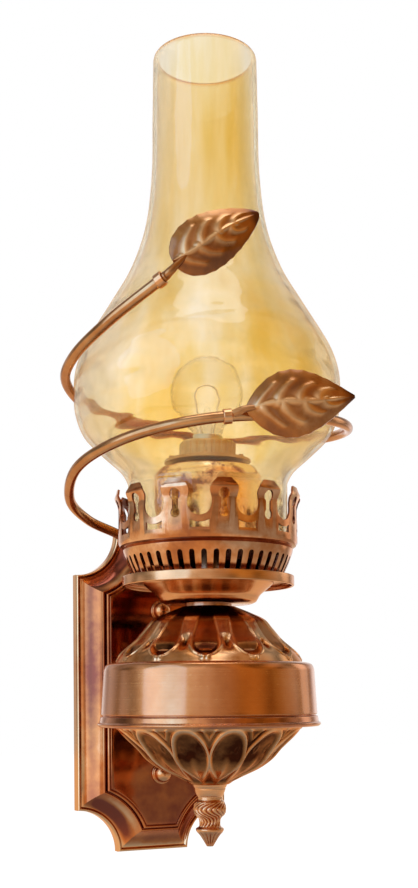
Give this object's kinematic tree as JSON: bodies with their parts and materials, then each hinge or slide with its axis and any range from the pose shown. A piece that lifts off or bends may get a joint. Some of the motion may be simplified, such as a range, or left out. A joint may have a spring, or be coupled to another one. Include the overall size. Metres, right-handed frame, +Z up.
{
  "type": "wall oil lamp",
  "caption": "Wall lamp in the form of an oil lamp: amber glass chimney in a pierced crown over a round font, on a scooped plate, with a copper vine and leaves round the glass.",
  "frame": {"origin": "centre of the wall plate, on the wall's surface", "axes": "+X to the right as one faces the lamp, +Y into the wall, +Z up"},
  "size_m": [0.1349, 0.1588, 0.3746],
  "materials": {
    "antique_copper": "polished antique copper",
    "dark_copper": "dark patinated copper",
    "amber_glass": "amber tinted blown glass, gloss",
    "clear_glass": "clear gloss",
    "zinc_steel": "zinc plated",
    "raw_brass": "machined",
    "black_moulding": "moulded gloss",
    "white_moulding": "moulded satin",
    "brown_sleeve": "satin",
    "blue_sleeve": "satin",
    "green_sleeve": "satin",
    "tungsten": "drawn wire"
  },
  "bodies": {
    "lamp": {"wall_plate": "antique_copper", "mounting_bar": "zinc_steel", "mounting_studs": "zinc_steel", "cap_nuts": "antique_copper", "terminal_block": "white_moulding", "terminal_screws": "raw_brass", "earth_screw": "raw_brass", "wall_pipe": "raw_brass", "pipe_spacer": "antique_copper", "saddle_washer": "zinc_steel", "locknuts": "zinc_steel", "centre_hub": "raw_brass", "upper_tube": "raw_brass", "lower_tube": "raw_brass", "font_dome": "antique_copper", "font_band": "antique_copper", "font_ring": "antique_copper", "font_bowl": "antique_copper", "finial": "dark_copper", "neck_washer": "dark_copper", "neck_cup": "antique_copper", "dish": "antique_copper", "slotted_basket": "antique_copper", "crown_gallery": "antique_copper", "holder_cover": "dark_copper", "shade_ring": "black_moulding", "holder_base": "black_moulding", "holder_skirt": "black_moulding", "screw_shell": "raw_brass", "centre_contact": "raw_brass", "vine_tube": "dark_copper", "vine_nuts": "zinc_steel", "leaf_collars": "antique_copper", "upper_leaf": "dark_copper", "lower_leaf": "dark_copper", "live_lead": "brown_sleeve", "neutral_lead": "blue_sleeve", "earth_lead": "green_sleeve"},
    "chimney": {"chimney": "amber_glass"},
    "bulb": {"bulb_cap": "zinc_steel", "bulb_glass": "clear_glass", "bulb_stem": "clear_glass", "filament": "tungsten"}
  },
  "joints": [
    {"name": "chimney_lift", "type": "slide", "parent": "lamp", "child": "chimney", "axis": [0, 0, 1], "range_m": [0, 0.15]},
    {"name": "bulb_lift", "type": "slide", "parent": "lamp", "child": "bulb", "axis": [0, 0, 1], "range_m": [0, 0.205]}
  ]
}
